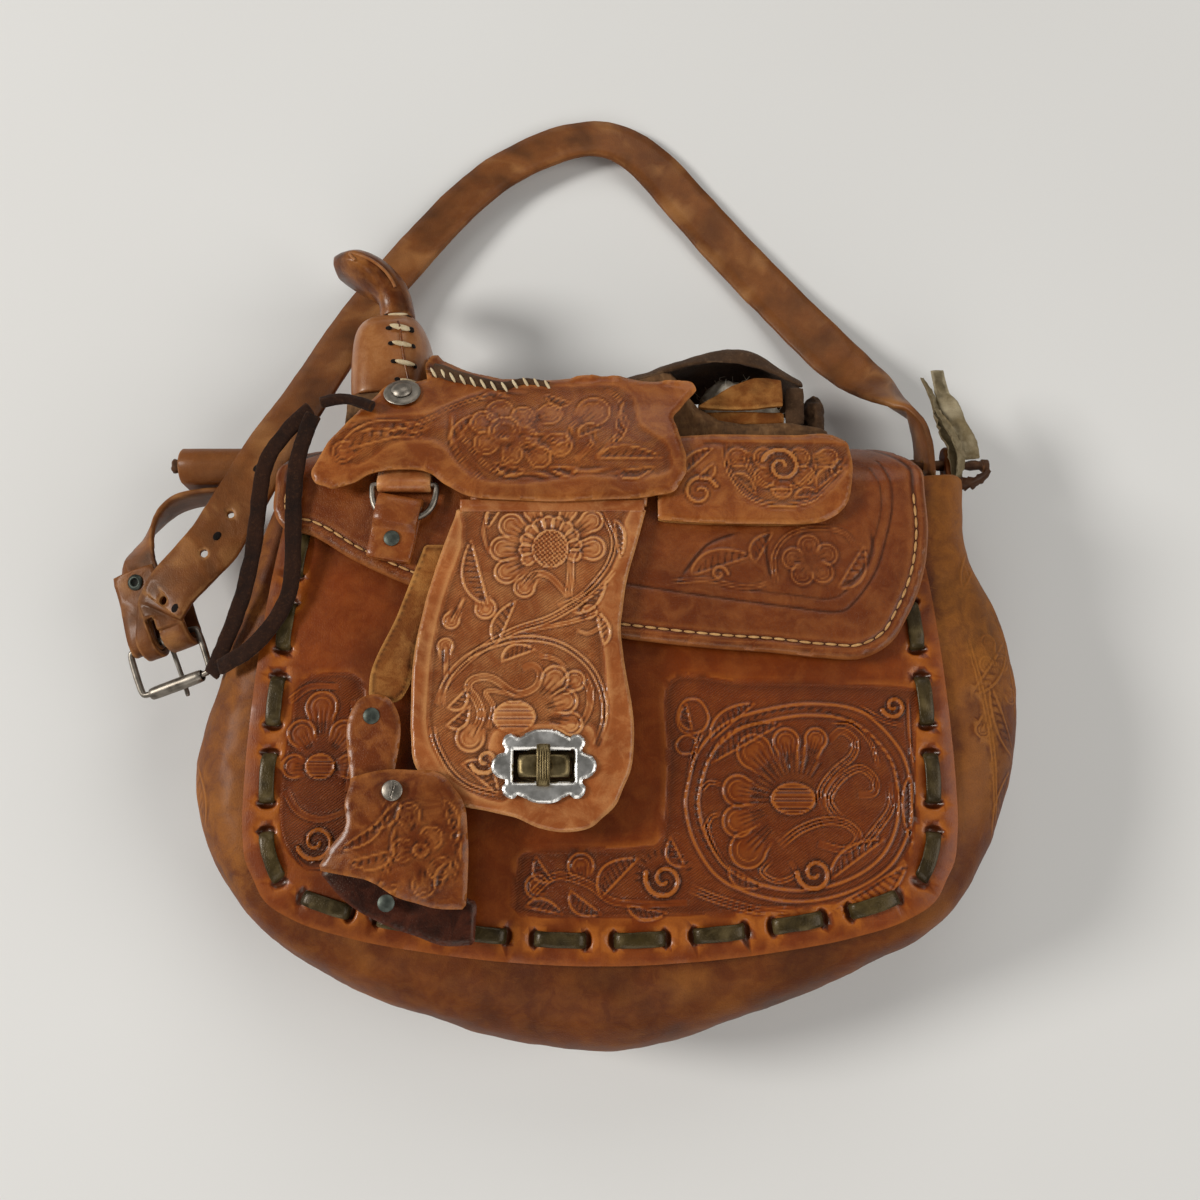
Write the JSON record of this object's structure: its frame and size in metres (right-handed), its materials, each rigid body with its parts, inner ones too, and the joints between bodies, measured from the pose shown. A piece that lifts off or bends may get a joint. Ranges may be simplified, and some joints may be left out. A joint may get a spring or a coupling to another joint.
{
  "type": "leather shoulder bag",
  "caption": "Tooled leather shoulder bag shaped like a western saddle, with a folding saddle lid, a hanging stirrup, a turn lock and a long buckled strap.",
  "frame": {"origin": "centre of the outer face of the back panel, the face that the bag lies on", "axes": "+Z out of the front panel, +Y towards the mouth and the saddle horn, +X to the right as seen from the front"},
  "size_m": [0.3889, 0.4427, 0.0959],
  "materials": {
    "front_leather": "satin",
    "back_leather": "matt",
    "gusset_leather": "matt",
    "skirt_leather": "satin",
    "jockey_leather": "satin",
    "fender_leather": "satin",
    "stirrup_leather": "satin",
    "rough_leather": "matt",
    "strap_leather": "matt",
    "swell_leather": "satin",
    "horn_leather": "satin",
    "root_lace_leather": "matt",
    "seat_suede": "matt",
    "edge_lace_leather": "satin",
    "swell_lace_leather": "matt",
    "rawhide": "matt",
    "tree_padding": "matt",
    "cotton_padding": "matt",
    "lock_plate_metal": "satin",
    "lock_brass": "satin",
    "buckle_steel": "satin",
    "rivet_metal": "satin"
  },
  "bodies": {
    "bag": {"back_panel": "back_leather", "front_panel": "front_leather", "gusset": "gusset_leather", "edge_lace": "edge_lace_leather", "hinge_leaf": "back_leather", "lock_boss": "lock_brass", "lock_washer": "lock_brass", "left_lug": "gusset_leather", "right_lug": "gusset_leather", "left_root_lace": "root_lace_leather", "right_root_lace": "root_lace_leather", "rawhide_thong": "rawhide"},
    "lid": {"lid_skirt": "skirt_leather", "rear_jockey": "jockey_leather", "rear_jockey_lining": "jockey_leather", "seat_jockey": "jockey_leather", "fender_root": "fender_leather", "dee_loop": "fender_leather", "saddle_tree": "tree_padding", "seat_suede": "seat_suede", "saddle_swell": "swell_leather", "saddle_horn": "horn_leather", "swell_lace": "swell_lace_leather", "concho": "buckle_steel", "concho_boss": "buckle_steel", "cantle_wrap": "rough_leather", "cantle_lip": "rough_leather", "cantle_padding": "cotton_padding", "cantle_strip": "seat_suede", "cantle_end_roll": "rough_leather", "string_root": "seat_suede", "string_long": "seat_suede", "string_front": "seat_suede"},
    "strap": {"shoulder_strap": "strap_leather", "billet": "strap_leather", "billet_tab": "strap_leather", "billet_eyelet": "buckle_steel"},
    "fender": {"fender": "fender_leather", "lock_plate": "lock_plate_metal", "stirrup_leather": "rough_leather"},
    "stirrup": {"stirrup_hanger": "fender_leather", "stirrup_hood": "stirrup_leather", "stirrup_tread": "stirrup_leather", "hanger_rivet": "rivet_metal", "tread_rivet": "rivet_metal", "stirrup_screw": "buckle_steel"},
    "lock_turn_knob": {"lock_knob": "lock_brass"},
    "dee": {"dee_ring": "buckle_steel", "dee_keeper": "fender_leather", "keeper_rivet": "rivet_metal"},
    "buckle": {"buckle_frame": "buckle_steel"},
    "roller": {"buckle_roller": "buckle_steel"},
    "prong": {"buckle_prong": "buckle_steel"}
  },
  "joints": [
    {"name": "lid_hinge", "type": "hinge", "parent": "bag", "child": "lid", "pos_m": [0, 0.1015, 0.0062], "axis": [1, 0, 0], "range_deg": [-90, 0]},
    {"name": "strap_root", "type": "hinge", "parent": "bag", "child": "strap", "pos_m": [0, 0.11, 0.038], "axis": [1, 0, 0], "range_deg": [-79.2, 0]},
    {"name": "fender_lift", "type": "hinge", "parent": "lid", "child": "fender", "pos_m": [-0.0255, 0.0765, 0.08708], "axis": [1, 0, 0], "range_deg": [-75, 0]},
    {"name": "stirrup_swing", "type": "hinge", "parent": "fender", "child": "stirrup", "pos_m": [-0.087, 0.001, 0.08554], "axis": [1, 0, 0], "range_deg": [-70, 0]},
    {"name": "lock_turn", "type": "hinge", "parent": "bag", "child": "lock_turn_knob", "pos_m": [-0.0213, -0.0264, 0.0916], "axis": [0, 0, 1], "range_deg": [0, 90]},
    {"name": "dee_swing", "type": "hinge", "parent": "lid", "child": "dee", "pos_m": [-0.079, 0.0868, 0.08383], "axis": [1, 0, 0], "range_deg": [-60, 0]},
    {"name": "buckle_swing", "type": "hinge", "parent": "strap", "child": "buckle", "pos_m": [-0.187, 0.0305, 0.043], "axis": [0.9303, 0.3023, 0.2079], "range_deg": [-30, 30]},
    {"name": "roller_spin", "type": "hinge", "parent": "buckle", "child": "roller", "pos_m": [-0.18031, 0.01134, 0.04091], "axis": [0.9303, 0.3023, 0.2079], "continuous": true},
    {"name": "prong_swing", "type": "hinge", "parent": "buckle", "child": "prong", "pos_m": [-0.187, 0.0305, 0.043], "axis": [0.9303, 0.3023, 0.2079], "range_deg": [0, 60]}
  ],
  "couplings": [
    {"joint": "strap_root", "follows": "lid_hinge", "ratio": 0.88}
  ]
}
